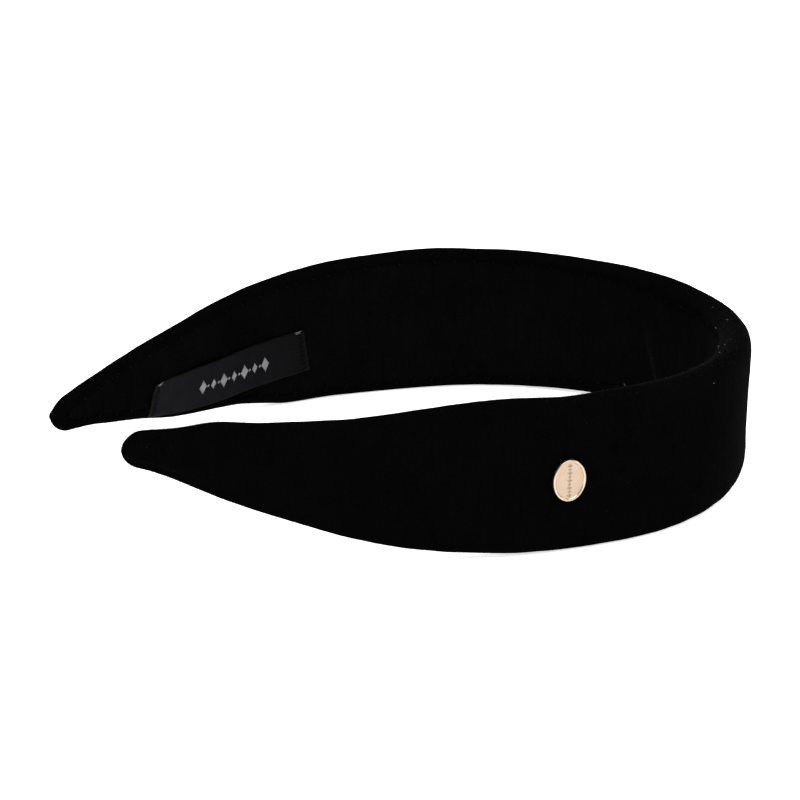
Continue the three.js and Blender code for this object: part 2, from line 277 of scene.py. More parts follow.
def new_object(name, data):
    piece = bpy.data.objects.new(name, data)
    bpy.context.scene.collection.objects.link(piece)
    return piece


def mesh_object(name, points, faces, material):
    mesh = bpy.data.meshes.new(name)
    mesh.from_pydata(np.asarray(points, float).reshape(-1, 3).tolist(), [], faces)
    mesh.validate()
    if material is not None:
        mesh.materials.append(material)
    return new_object(name, mesh)


def tidy_mesh(piece, merge=0.00002, shade_smooth=True):
    """Merges doubled points, drops stray faces and turns every face outwards."""
    work = bmesh.new()
    work.from_mesh(piece.data)
    bmesh.ops.remove_doubles(work, verts=work.verts, dist=merge)
    bmesh.ops.dissolve_degenerate(work, dist=merge / 4, edges=work.edges)
    bmesh.ops.recalc_face_normals(work, faces=work.faces)
    for face in work.faces:
        face.smooth = shade_smooth
    work.to_mesh(piece.data)
    work.free()


def sharpen(piece, degrees=55):
    piece.data.set_sharp_from_angle(angle=math.radians(degrees))


def read(items, key, width=1, kind=float):
    """One property of many mesh items, as an array with a row for each."""
    flat = np.zeros(len(items) * width, kind)
    items.foreach_get(key, flat)
    return flat.reshape(-1, width) if width > 1 else flat


def positions(piece):
    return read(piece.data.vertices, "co", 3)


def set_positions(piece, points):
    piece.data.vertices.foreach_set("co", points.astype(np.float32).ravel())
    piece.data.update()


def apply_modifiers(piece):
    evaluated = piece.evaluated_get(bpy.context.evaluated_depsgraph_get())
    mesh = bpy.data.meshes.new_from_object(evaluated)
    piece.modifiers.clear()
    old = piece.data
    piece.data = mesh
    bpy.data.meshes.remove(old)
    mesh.name = piece.name


def noise_at(points, scale, seed):
    """Smooth noise from -1 to 1 at points in metres; scale is the size of its features, mm."""
    shift = Vector((seed * 17.3, seed * 5.1, seed * 9.7))
    return np.array([noise.noise(Vector(p) / (scale * MM) + shift) for p in points])


def b_spline(control, samples):
    """Samples of the uniform cubic B-spline through rows of control points: (rows, points, 2)."""
    spans = control.shape[1] - 3
    t = np.linspace(0, spans, samples)
    span = np.minimum(t.astype(int), spans - 1)
    u = t - span
    weights = np.stack([
        (1 - u) ** 3, 3 * u**3 - 6 * u**2 + 4, -3 * u**3 + 3 * u**2 + 3 * u + 1, u**3,
    ]) / 6
    return sum(weights[k][None, :, None] * control[:, span + k, :] for k in range(4))


def gather(parts):
    """One point list and face list from several."""
    points, faces = [], []
    for part_points, part_faces in parts:
        start = len(points)
        points.extend(part_points)
        faces.extend([[start + i for i in face] for face in part_faces])
    return points, faces


def thread_tube(path, radius, sides=6):
    """A closed round tube along a short path, with domed ends."""
    path = np.asarray(path, float)
    tangent = np.gradient(path, axis=0)
    tangent /= np.linalg.norm(tangent, axis=1, keepdims=True)
    across = np.cross(tangent, [0.3, 0.2, 0.93])
    across /= np.linalg.norm(across, axis=1, keepdims=True)
    other = np.cross(tangent, across)
    turn = np.linspace(0, 2 * math.pi, sides, endpoint=False)[:, None]
    ends = np.ones(len(path))
    ends[0] = ends[-1] = 0.45
    circle = np.cos(turn) * across[:, None] + np.sin(turn) * other[:, None]
    rings = path[:, None] + circle * (radius * ends)[:, None, None]
    return rings.reshape(-1, 3).tolist(), tube_faces(len(path), sides)


def sewn_piece(name, parts, material):
    """One piece made of many small tubes."""
    piece = mesh_object(name, *gather(parts), material)
    tidy_mesh(piece, merge=1e-7)
    return piece


# --- materials ---

class Nodes:
    """A material's node tree, with short calls for adding and joining nodes."""

    def __init__(self, name):
        self.material = bpy.data.materials.new(name)
        self.material.use_nodes = True
        self.tree = self.material.node_tree
        self.shader = self.tree.nodes["Principled BSDF"]
        self.mm = self.add("ShaderNodeVectorMath", operation="SCALE")
        self.mm.inputs["Scale"].default_value = 1 / MM
        coordinates = self.add("ShaderNodeTexCoord")
        self.join(coordinates.outputs["Object"], self.mm.inputs[0])

    def add(self, kind, **settings):
        node = self.tree.nodes.new(kind)
        for key, value in settings.items():
            setattr(node, key, value)
        return node

    def join(self, output, target):
        self.tree.links.new(output, target)

    def set(self, **sockets):
        """Constants on the shader's own sockets, such as set(Roughness=0.5)."""
        for key, value in sockets.items():
            self.shader.inputs[key.replace("_", " ")].default_value = value

    def noise(self, size, detail=3.0, roughness=0.5, stretch=(1, 1, 1)):
        """Noise whose features are about size mm across."""
        texture = self.add("ShaderNodeTexNoise")
        texture.inputs["Scale"].default_value = 1 / size
        texture.inputs["Detail"].default_value = detail
        texture.inputs["Roughness"].default_value = roughness
        scaled = self.add("ShaderNodeVectorMath", operation="MULTIPLY")
        scaled.inputs[1].default_value = stretch
        self.join(self.mm.outputs[0], scaled.inputs[0])
        self.join(scaled.outputs[0], texture.inputs["Vector"])
        return texture.outputs["Fac"]

    def cells(self, size):
        """Voronoi cells about size mm across: (distance, colour)."""
        texture = self.add("ShaderNodeTexVoronoi")
        texture.inputs["Scale"].default_value = 1 / size
        self.join(self.mm.outputs[0], texture.inputs["Vector"])
        return texture.outputs["Distance"], texture.outputs["Color"]

    def ramp(self, value, stops):
        """Colours at positions along value: stops is [(position, (r, g, b)), ...]."""
        ramp = self.add("ShaderNodeValToRGB")
        elements = ramp.color_ramp.elements
        while len(elements) < len(stops):
            elements.new(0.5)
        for element, (position, colour) in zip(elements, stops):
            element.position = position
            element.color = (*colour, 1)
        self.join(value, ramp.inputs[0])
        return ramp.outputs[0]

    def grey(self, value, low, high, start=0.0, end=1.0):
        """value from start to end, mapped to low to high."""
        mapped = self.add("ShaderNodeMapRange")
        for socket, number in zip(("From Min", "From Max", "To Min", "To Max"), (start, end, low, high)):
            mapped.inputs[socket].default_value = number
        self.join(value, mapped.inputs["Value"])
        return mapped.outputs[0]

    def feed(self, socket, value):
        """Gives a socket a number, a colour or another node's output."""
        if isinstance(value, bpy.types.NodeSocket):
            self.join(value, socket)
        else:
            socket.default_value = (*value, 1) if isinstance(value, tuple) else value

    def math(self, operation, a, b):
        node = self.add("ShaderNodeMath", operation=operation)
        for socket, value in zip(node.inputs, (a, b)):
            self.feed(socket, value)
        return node.outputs[0]

    def mix(self, share, a, b):
        node = self.add("ShaderNodeMix", data_type="RGBA")
        self.join(share, node.inputs["Factor"])
        self.feed(node.inputs["A"], a)
        self.feed(node.inputs["B"], b)
        return node.outputs["Result"]

    def bump(self, height, strength, depth, below=None):
        """Bump of depth mm; below is a coarser bump under it."""
        node = self.add("ShaderNodeBump")
        node.inputs["Strength"].default_value = strength
        node.inputs["Distance"].default_value = depth * MM
        self.join(height, node.inputs["Height"])
        if below is not None:
            self.join(below, node.inputs["Normal"])
        return node.outputs[0]

    def surface(self, colour, rough, normal=None):
        """Joins what drives the shader's colour, roughness and normal."""
        for key, output in (("Base Color", colour), ("Roughness", rough), ("Normal", normal)):
            if output is not None:
                self.join(output, self.shader.inputs[key])


# How much paler the painted sheen makes the velvet's colour.
PAINTED_SHEEN_GAIN = 4.0


def mark_painted_sheen(piece, amount):
    """Stores the painted sheen at each vertex, from 0 to 1; the velvet's colour is painted paler there, in
    place of light caught at grazing angles.
    """
    attribute = piece.data.attributes.new("painted_sheen", "FLOAT", "POINT")
    attribute.data.foreach_set("value", np.clip(amount, 0, 1).astype(np.float32).ravel())


def velvet(name, dark, light, lint=0.0):
    """Short dense pile: nap in soft patches, fine tufts, a glow at grazing angles, a little lint, and a
    painted sheen: paler colour where the mesh marks it.
    """
    nodes = Nodes(name)
    nap = nodes.noise(14, detail=3, roughness=0.55)
    streaks = nodes.noise(2.2, detail=2, stretch=(1, 1, 0.35))
    tufts = nodes.noise(0.32, detail=2, roughness=0.6)
    lying = nodes.math("ADD", nodes.math("MULTIPLY", nap, 0.6), nodes.math("MULTIPLY", streaks, 0.4))
    pile = nodes.ramp(lying, [(0.35, dark), (0.65, light)])
    speckled = nodes.mix(nodes.grey(tufts, 0, 0.5, 0.45, 0.7), pile, tuple(1.8 * c for c in light))
    if lint:
        distance, chance = nodes.cells(5.5)
        fleck = nodes.grey(distance, 1, 0, 0.012, 0.03)
        chosen = nodes.grey(chance, 0, 1, 0.62, 0.64)
        shown = nodes.math("MULTIPLY", nodes.math("MULTIPLY", fleck, chosen), lint)
        speckled = nodes.mix(shown, speckled, (0.12, 0.12, 0.125))
    # Painted sheen: paler colour where the mesh marks it, standing in for light caught at grazing angles.
    painted_sheen = nodes.add("ShaderNodeAttribute", attribute_name="painted_sheen")
    uneven = nodes.math("MULTIPLY", painted_sheen.outputs["Fac"], nodes.grey(tufts, 0.55, 1, 0.3, 0.7))
    speckled = nodes.mix(uneven, speckled, tuple(PAINTED_SHEEN_GAIN * c for c in light))
    relief = nodes.bump(tufts, 0.55, 0.18, nodes.bump(streaks, 0.25, 0.25))
    nodes.surface(speckled, nodes.grey(nap, 0.82, 1.0, 0.3, 0.7), relief)
    nodes.set(Specular_IOR_Level=0.0, Sheen_Weight=0.0095, Sheen_Roughness=0.28)
    nodes.set(Sheen_Tint=(0.9, 0.9, 0.95, 1))
    return nodes.material


def foam_material():
    nodes = Nodes("open_cell_foam")
    distance, chance = nodes.cells(0.7)
    # Painted shade: each pore is darker towards its middle, with paler struts between.
    tint = nodes.ramp(distance, [(0.1, (0.10, 0.10, 0.098)), (0.6, (0.34, 0.34, 0.33))])
    nodes.surface(tint, nodes.grey(chance, 0.85, 1.0), nodes.bump(distance, 0.8, 0.3))
    nodes.set(Specular_IOR_Level=0.2)
    return nodes.material


def plastic_material():
    nodes = Nodes("moulded_plastic")
    grain = nodes.noise(0.25, detail=4)
    flow = nodes.noise(9, detail=2, stretch=(1, 1, 3))
    tint = nodes.ramp(flow, [(0.3, (0.012, 0.012, 0.012)), (0.7, (0.024, 0.024, 0.024))])
    nodes.surface(tint, nodes.grey(grain, 0.38, 0.55, 0.3, 0.7), nodes.bump(grain, 0.25, 0.03))
    return nodes.material


def thread_material(name, dark, light):
    """Twisted polyester: fine slanting strands."""
    nodes = Nodes(name)
    strands = nodes.add("ShaderNodeTexWave", wave_type="BANDS", bands_direction="DIAGONAL")
    strands.inputs["Scale"].default_value = 3.2
    strands.inputs["Distortion"].default_value = 0.6
    nodes.join(nodes.mm.outputs[0], strands.inputs["Vector"])
    twist, fuzz = strands.outputs["Fac"], nodes.noise(0.12)
    tint = nodes.ramp(twist, [(0.2, dark), (0.9, light)])
    nodes.surface(tint, nodes.grey(fuzz, 0.45, 0.7), nodes.bump(twist, 0.6, 0.06))
    nodes.set(Specular_IOR_Level=0.02, Sheen_Weight=0.01)
    return nodes.material


def satin_material(name, dark, light, rough, falloff=0.0):
    """Woven ribbon: warp floats crossed by fine picks; the last argument is how much paler its start is, a
    painted gradient of light that falls more on the tip end.
    """
    nodes = Nodes(name)
    uv = nodes.add("ShaderNodeUVMap")
    split = nodes.add("ShaderNodeSeparateXYZ")
    nodes.join(uv.outputs[0], split.inputs[0])
    along, across = split.outputs[0], split.outputs[1]
    picks = nodes.math("SINE", nodes.math("MULTIPLY", along, 2 * math.pi / 0.22), 0)
    warp = nodes.math("SINE", nodes.math("MULTIPLY", across, 2 * math.pi / 0.16), 0)
    weave = nodes.math("MULTIPLY", nodes.math("ADD", picks, 1), nodes.math("ADD", warp, 1))
    slubs = nodes.noise(1.6, detail=3, stretch=(0.3, 0.3, 2.2))
    shade = nodes.math("ADD", nodes.math("MULTIPLY", weave, 0.14), nodes.math("MULTIPLY", slubs, 0.5))
    # Painted light: the ribbon is paler towards its tip end, where more light falls on it.
    painted_tip_light = nodes.math("MULTIPLY", nodes.math("SUBTRACT", LABEL_LENGTH / 2, along), falloff / LABEL_LENGTH)
    shade = nodes.math("ADD", shade, painted_tip_light)
    relief = nodes.bump(weave, 0.5, 0.04, nodes.bump(slubs, 0.2, 0.15))
    gloss = nodes.grey(slubs, rough - 0.06, rough + 0.1, 0.3, 0.7)
    nodes.surface(nodes.ramp(shade, [(0.1, dark), (0.75, light)]), gloss, relief)
    nodes.set(Specular_IOR_Level=0.035, Sheen_Weight=0.014, Sheen_Roughness=0.4)
    return nodes.material


def metal_material(name, colour, wear_and_sheen, rough, grain=(1, 1, 1)):
    """Plated metal: faint tarnish, fine brushing and a few scratches."""
    nodes = Nodes(name)
    tarnish = nodes.noise(3.0, detail=4)
    brushing = nodes.noise(0.16, detail=3, stretch=grain)
    gloss = nodes.grey(brushing, rough - 0.05, rough + 0.09, 0.3, 0.7)
    tint = nodes.ramp(tarnish, [(0.3, wear_and_sheen), (0.62, colour)])
    nodes.surface(tint, gloss, nodes.bump(brushing, 0.5, 0.012))
    nodes.set(Metallic=1.0)
    return nodes.material


def hair_material(name, dark, light):
    nodes = Nodes(name)
    tint = nodes.noise(1.2, detail=2)
    shade = nodes.ramp(tint, [(0.3, dark), (0.7, light)])
    nodes.surface(shade, nodes.grey(tint, 0.7, 0.9), nodes.bump(tint, 0.2, 0.02))
    nodes.set(Specular_IOR_Level=0.05, Sheen_Weight=0.05)
    return nodes.material


pile_hair = hair_material("pile_hair", (0.0025, 0.0025, 0.0026), (0.006, 0.006, 0.0063))
lint_hair = hair_material("lint_hair", (0.02, 0.02, 0.0205), (0.085, 0.085, 0.087))
cover_velvet = velvet("cover_velvet", (0.0007, 0.0007, 0.00074), (0.0012, 0.0012, 0.00127), lint=0.06)
lining_velvet = velvet("lining_velvet", (0.0009, 0.0009, 0.00095), (0.0017, 0.0017, 0.0018), lint=0.08)
foam_grey = foam_material()
core_plastic = plastic_material()
thread_black = thread_material("sewing_thread", (0.0006, 0.0006, 0.00065), (0.0018, 0.0018, 0.0019))
thread_grey = thread_material("grey_thread", (0.05, 0.05, 0.052), (0.2, 0.2, 0.205))
# The label's tip end is painted paler, in place of more light falling there.
label_satin = satin_material(
    "label_satin", (0.0006, 0.0006, 0.0010), (0.0036, 0.0036, 0.0049), 0.55, falloff=0.9)
label_pattern = satin_material("label_pattern", (0.16, 0.16, 0.168), (0.33, 0.33, 0.345), 0.6)
champagne_gold = metal_material(
    "champagne_gold", (0.48, 0.385, 0.295), (0.44, 0.35, 0.265), 0.24, (1, 1, 0.15))
champagne_satin = metal_material(
    "champagne_satin", (0.41, 0.314, 0.233), (0.385, 0.293, 0.216), 0.4, (1, 1, 0.12))
engraving_dark = metal_material("engraving_dark", (0.31, 0.235, 0.175), (0.27, 0.20, 0.15), 0.5)
washer_steel = metal_material("washer_steel", (0.55, 0.55, 0.54), (0.42, 0.42, 0.41), 0.35, (1, 1, 0.2))


# --- cover ---

COVER_STEP = 2.4
COVER_SAMPLES = 50
TIP_STEPS = 12
SURFACE_DEPTH = 0.10
SURFACE_UNEVENNESS = ((0.09, 7.0, 1), (0.05, 2.6, 2))
HEM = 0.7


def run_samples():
    """Signed distances from one tip to the other, closer together at the tips."""
    straight = HALF_LENGTH - TIP_ROUNDING
    middle = np.linspace(-straight, straight, int(2 * straight / COVER_STEP) | 1)
    turn = np.linspace(0, math.pi / 2, TIP_STEPS)[1:]
    tip = straight + TIP_ROUNDING * np.sin(turn)
    return np.concatenate([-tip[::-1], middle, tip])


def cover_control(s):
    """Control points of the cover's section, from the lip under the lining round to the other lip."""
    half, thick, rounding, recess = half_width(s), thickness(s), edge_round(s), recess_half(s)
    flank = half - rounding
    top = thick * edge_share(s)
    middle = top / 2
    half_side = [(LIP_OFFSET + 0 * s, np.maximum(recess - inset, 0)) for inset in (3.2, 2.2, 1.0)]
    half_side += [
        (LIP_OFFSET + 0.05 + 0 * s, recess),
        (0.05 + 0 * s, np.maximum(recess, flank - 0.3) + 0.1),
        (-0.15 + 0 * s, flank + 0.45 * rounding),
    ]
    for turn in (42, 68, 90, 112, 138, 160):
        angle = math.radians(turn)
        half_side.append((middle - middle * math.cos(angle), flank + (rounding + 0.12) * math.sin(angle)))
    for across in (0.96, 0.86, 0.72, 0.55, 0.36, 0.16):
        half_side.append((top + (thick - top) * (1 - across**CROWNING_POWER) + 0.03, flank * across))
    lower = np.stack([np.stack([offset, -height], -1) for offset, height in half_side], 1)
    bunched = BUNCHING * swell(np.abs(s), BUNCHING_S, BUNCHING_SPREAD)
    bunched = bunched * (1 + 0.15 * np.sin(s / 1.9) * np.sin(s / 3.1)) * (1 - 0.7 * smooth((-s - 4) / 16))
    for index, share in enumerate(BUNCHING_SHARES):
        offset, height = half_side[index]
        half_side[index] = (offset - share * bunched, height)
    upper = np.stack([np.stack([offset, height], -1) for offset, height in reversed(half_side)], 1)
    return np.concatenate([lower, upper], 1)


def cover_grid(s):
    section = b_spline(cover_control(s), COVER_SAMPLES)
    scale = round_end(s, HALF_LENGTH, TIP_ROUNDING)[:, None]
    middle = thickness(s)[:, None] / 2
    offset = middle + (section[..., 0] - middle) * scale**0.8
    return offset, section[..., 1] * scale


def stitch_places():
    """Distances along one arm of its edge stitches, unevenly spaced as by hand."""
    rng = np.random.default_rng(SEED)
    end = HALF_LENGTH - LINING_END - 4
    places = np.arange(STITCH_PITCH / 2, end, STITCH_PITCH)
    return places + rng.uniform(-0.7, 0.7, len(places))


def cover_folds(s, offset, height):
    """Small hand-made unevenness: ripples along the edges, gathers near the tips."""
    s = np.broadcast_to(s[:, None], offset.shape)
    run = np.abs(s)
    near_edge = smooth((np.abs(height) / half_width(run) - 0.55) / 0.45)
    ripple = np.sin(run / 1.05 + np.sign(height) * 1.3) * np.sin(run / 4.7 + 0.8 * np.sign(s))
    fold = np.sin(np.sign(height) * 2 + run / 2.3) * smooth((run - 150) / 40)
    lift = 0.10 * ripple * near_edge + 0.16 * fold * near_edge
    return offset + lift * smooth((offset - 0.8) / 2)


def pin_weights(rows, columns, rims=7):
    """1 where the cloth is glued down: under the lining, along both lips."""
    weights = np.zeros((rows, columns))
    falloff = np.linspace(1, 0.25, rims)
    weights[:, :rims] = falloff
    weights[:, -rims:] = falloff[::-1]
    weights[:4] = weights[-4:] = 1
    return weights.ravel()


CLOTH_SCALE = 20.0
CLOTH_FRAMES = 14
CLOTH_CAP = 0.55
CLOTH_SLACK = 0.012
CLOTH_PRESSURE = 3.0


def puff(piece, weights):
    """Lets the cloth settle on its padding: a little too large, blown gently outwards, glued at its rims."""
    rest = positions(piece)
    work = new_object("settling_cloth", piece.data.copy())
    set_positions(work, rest * CLOTH_SCALE)
    group = work.vertex_groups.new(name="glued")
    for level in np.unique(weights[weights > 0]):
        group.add(np.flatnonzero(weights == level).tolist(), float(level), "REPLACE")
    cloth = work.modifiers.new("cloth", "CLOTH")
    cloth.point_cache.frame_start = 1
    cloth.point_cache.frame_end = CLOTH_FRAMES
    settings = {
        "quality": 5, "mass": 0.3, "tension_stiffness": 15, "compression_stiffness": 8,
        "bending_stiffness": 0.6, "vertex_group_mass": group.name, "shrink_min": -CLOTH_SLACK,
        "use_pressure": True, "uniform_pressure_force": CLOTH_PRESSURE,
    }
    for key, value in settings.items():
        setattr(cloth.settings, key, value)
    cloth.settings.effector_weights.gravity = 0
    scene = bpy.context.scene
    for number in range(1, CLOTH_FRAMES + 1):
        scene.frame_set(number)
    settled = work.evaluated_get(bpy.context.evaluated_depsgraph_get())
    moved = positions(settled) / CLOTH_SCALE - rest
    bpy.data.objects.remove(work)
    scene.frame_set(1)
    length = np.linalg.norm(moved, axis=1, keepdims=True)
    cap = CLOTH_CAP * MM
    capped = moved * (cap * np.tanh(length / cap) / np.maximum(length, 1e-12))
    set_positions(piece, rest + capped)


def split_at_crown(piece, name, side):
    """The half of a band-long mesh on one side of the crown's middle, as a new piece."""
    half = new_object(name, piece.data.copy())
    half.data.name = name
    work = bmesh.new()
    work.from_mesh(half.data)
    seam = ORIGIN[1] * MM
    away = [face for face in work.faces if (face.calc_center_median().y - seam) * side > 0]
    bmesh.ops.delete(work, geom=away, context="FACES")
    work.to_mesh(half.data)
    work.free()
    return half


def bend_over_hinge(piece, sign):
    """Bakes the piece's transform into its mesh; the points where its bend would start and end are found but
    not used.
    """
    start = place(np.array([sign * (HINGE_S - BEND_SPREAD)]), HINGE_OFFSET, 0)[0]
    end = place(np.array([sign * (HINGE_S + BEND_SPREAD)]), HINGE_OFFSET, 0)[0]
    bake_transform(piece)


def finish_half(piece, cad_name, side_name, sign):
    """Half of a band-long piece stands for the crown's and its own arm's CAD node, which are hidden; its
    transform is baked into its mesh.
    """
    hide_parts(f"{cad_name}_crown", f"{cad_name}_{side_name}_arm")
    bend_over_hinge(piece, sign)


def add_thickness(piece, amount):
    solid = piece.modifiers.new("cloth_thickness", "SOLIDIFY")
    solid.thickness = amount * MM
    solid.offset = -1
    solid.use_even_offset = False
    apply_modifiers(piece)
    sharpen(piece)


def along_band(cover):
    """Each vertex's distance along the band from the middle of the crown."""
    return read(cover.data.attributes["along_band"].data, "value", kind=np.float32)


def facing_head(along, normal, sharpness):
    """1 where the surface faces the head, 0 where it faces away."""
    _, outwards = plan(along)
    return smooth(0.5 - sharpness * np.sum(outwards * normal[:, :2], 1))


def painted_crest_sheen(cover):
    """Painted sheen on the crest and the crown's upper edge, most on the side facing the head and on faces
    turned upwards: paler colour in place of light caught at grazing angles.
    """
    along = along_band(cover)
    normal = read(cover.data.vertices, "normal", 3)
    inward = facing_head(along, normal, 0.9)
    crest = swell(along, 68, 26) * (0.05 + 0.95 * inward)
    crown = swell(along, 20, 26) * (0.05 + 0.25 * inward)
    return (crest + crown) * smooth(normal[:, 2] * 2 + 0.2)


def make_cover():
    s = run_samples()
    offset, height = cover_grid(s)
    offset = cover_folds(s, offset, height)
    points = place(s[:, None], offset, height)
    rows, columns = offset.shape
    whole = mesh_object("cover_whole", points, grid_faces(rows, columns), cover_velvet)
    along = whole.data.attributes.new("along_band", "FLOAT", "POINT")
    along.data.foreach_set("value", np.repeat(s, columns).astype(np.float32))
    puff(whole, pin_weights(rows, columns))
    tidy_mesh(whole)
    subdivision = whole.modifiers.new("fine", "SUBSURF")
    subdivision.levels = 1
    subdivision.render_levels = 1
    apply_modifiers(whole)
    points = positions(whole)
    depth = SURFACE_DEPTH
    for amount, size, seed in SURFACE_UNEVENNESS:
        depth = depth + amount * noise_at(points, size, seed)
    points = points + read(whole.data.vertices, "normal", 3) * depth[:, None] * MM
    points[:, 2] = np.maximum(points[:, 2], 0)
    set_positions(whole, points)
    # Painted sheen along the crest and the crown's upper edge.
    mark_painted_sheen(whole, painted_crest_sheen(whole))
    for side_name, sign in SIDES:
        half = split_at_crown(whole, f"velvet_cover_{side_name}_half", sign)
        add_thickness(half, HEM)
        finish_half(half, "outer_cover", side_name, sign)
    grow_pile(whole)
    bpy.data.objects.remove(whole)


# --- raised pile and lint on the cover ---

PILE_LENGTH = 0.42
PILE_RADIUS = 0.03
LINT_LENGTH = 0.4
LINT_RADIUS = 0.17
FEWEST_HAIRS = 3


def face_data(piece):
    """Centres (mm), outward normals, areas (mm2) and distances along the band of a mesh's faces."""
    faces = piece.data.polygons
    along = along_band(piece)[[face.vertices[0] for face in faces]]
    return read(faces, "center", 3) / MM, read(faces, "normal", 3), read(faces, "area") / MM**2, along


def hair(root, direction, bend, length, radius):
    """A short bent hair, in mm, standing on root."""
    share = np.array([-0.12, 0.5, 1.0])[:, None]
    path = root + direction * length * share + bend * length * share**2
    points, faces = thread_tube(path, radius, sides=3)
    return (np.array(points) * MM).tolist(), faces


def scatter_hairs(faces, chance, length, radius, lie, rng):
    """Hairs on faces, chance per mm2; lie is how far they lean over."""
    centre, normal, area = faces
    counts = rng.poisson(chance * area)
    parts = []
    for index in np.flatnonzero(counts):
        side = math.sqrt(area[index])
        for _ in range(counts[index]):
            spread = rng.normal(0, 0.35 * side, 3)
            spread -= normal[index] * (spread @ normal[index])
            direction = normal[index] + rng.normal(0, lie, 3)
            direction /= np.linalg.norm(direction)
            bend = rng.normal(0, 0.4 * lie, 3)
            size = length * rng.uniform(0.6, 1.3)
            parts.append(hair(centre[index] + spread, direction, bend, size, radius))
    return parts


def grow_pile(cover):
    """Ruffled pile along both long edges, and lint where the crown's upper edge has been handled."""
    centre, normal, area, along = face_data(cover)
    run = np.abs(along)
    off_floor = centre[:, 2] > PILE_LENGTH * 2
    on_edge = smooth((np.abs(normal[:, 2]) - 0.35) / 0.5) * off_floor
    near_tip = 0.9 * smooth((run - 150) / 40)
    ruffled = 0.35 + near_tip + 0.35 * swell(along, 30, 38) * (normal[:, 2] > 0)
    inward = facing_head(along, normal, 1.2)
    linted = off_floor * (0.05 * inward + 0.006) * swell(along, 44, 28) * (normal[:, 2] > 0.1)
    for side_name, sign in SIDES:
        mine = along * sign > 0.6
        faces = (centre[mine], normal[mine], area[mine])
        rng = np.random.default_rng(SEED + 50 + sign)
        for name, chance, length, radius, lie, material in (
            ("raised_pile", (on_edge * ruffled)[mine], PILE_LENGTH, PILE_RADIUS, 0.35, pile_hair),
            ("lint", linted[mine], LINT_LENGTH, LINT_RADIUS, 1.4, lint_hair),
        ):
            if np.sum(chance * area[mine]) < FEWEST_HAIRS:
                continue
            hairs = scatter_hairs(faces, chance, length, radius, lie, rng)
            piece = sewn_piece(f"{name}_{side_name}_half", hairs, material)
            bend_over_hinge(piece, sign)


make_cover()


# --- lining ---

LINING_STEP = 0.9
LINING_COLUMNS = 23
LINING_BACK = 0.62
LINING_ROLL = 0.42

# Creases where the lining is pressed together inside the crown: (s, slant, rise, spread), mm.
LINING_CREASES = [
    (-22.7, 0.34, 0.5, 0.8), (-9.5, -0.3, 0.1, 1.3), (-2, -0.1, 0.2, 1.2), (30, -0.2, 0.1, 1.1),
]


def lining_half(s):
    return np.maximum(recess_half(s) - 0.12, 0)


def creases(s, height):
    return sum(rise * swell(s + slant * height, at, spread) for at, slant, rise, spread in LINING_CREASES)


def lining_front(s, height):
    """Offset of the lining's face: rolled edges, stitch dimples and pressed creases."""
    run = np.abs(s)
    share = np.abs(height) / np.maximum(lining_half(s), 0.3)
    rolled = LINING_ROLL * share**9
    dimple = 0.16 * sum(swell(run, at, 1.1) for at in stitch_places()) * smooth((share - 0.72) / 0.28)
    crease = creases(s, height) * (1 - share**4)
    wander = 0.12 * np.sin(run / 6.3 + height / 5) * np.sin(run / 15.7 + 1) + 0.06 * np.sin(run / 2.9)
    pressed = 0.5 + 0.5 * smooth((60 - run) / 40)
    return rolled + dimple - crease + wander * pressed * (1 - share**6)


def make_lining(side_name, sign):
    end = HALF_LENGTH - LINING_END - 0.15
    straight = end - LINING_ROUNDING
    turn = np.linspace(0, math.pi / 2, 11)[1:]
    body = np.linspace(0, straight, int(straight / LINING_STEP))
    s = np.concatenate([body, straight + LINING_ROUNDING * np.sin(turn)]) * sign
    for at, slant, _, spread in LINING_CREASES:
        reach = abs(slant) * BAND_WIDTH / 2 + 2 * spread
        s = np.concatenate([s, np.arange(at - reach, at + reach, 0.5 * spread)])
    s = np.unique(s[(s * sign >= 0)].round(3))[::sign]
    turn = np.linspace(-math.pi / 2, math.pi / 2, LINING_COLUMNS) * 0.96
    height = (np.sin(turn) / math.sin(math.pi * 0.48))[None, :] * lining_half(s)[:, None]
    front = lining_front(s[:, None], height)
    back = np.full_like(front, LINING_BACK)
    back[:, [0, -1]] = front[:, [0, -1]] + 0.05
    ring_offset, ring_height = ring(front, back), ring(height, height)
    points = place(s[:, None], ring_offset, ring_height)
    faces = tube_faces(*ring_offset.shape, far_cap=False)
    piece = mesh_object(f"velvet_lining_{side_name}_half", points, faces, lining_velvet)
    # Painted highlight and sheen on the lining: paler colour along the creases, more towards the lower edge,
    # partly pile pressed flat and partly light caught on their ridges; and painted sheen near the crown's
    # middle.
    lower_down = smooth(0.6 - 1.2 * ring_height / (BAND_WIDTH / 2))
    wear_and_sheen = 0.22 * swell(s, 8, 9)[:, None]
    mark_painted_sheen(piece, 0.9 * creases(s[:, None], ring_height) * lower_down + wear_and_sheen)
    tidy_mesh(piece)
    sharpen(piece, 75)
    finish_half(piece, "lining", side_name, sign)


for side_name, sign in SIDES:
    make_lining(side_name, sign)


# --- foam pad ---

FOAM_EDGE = 0.15
FOAM_REACH = 0.96
FOAM_GAP = 0.25
FOAM_ROWS = 72
FOAM_COLUMNS = 19
FOAM_POCKET = {"size": (7.0, 9.2), "floor": 4.0, "top": 9.0}


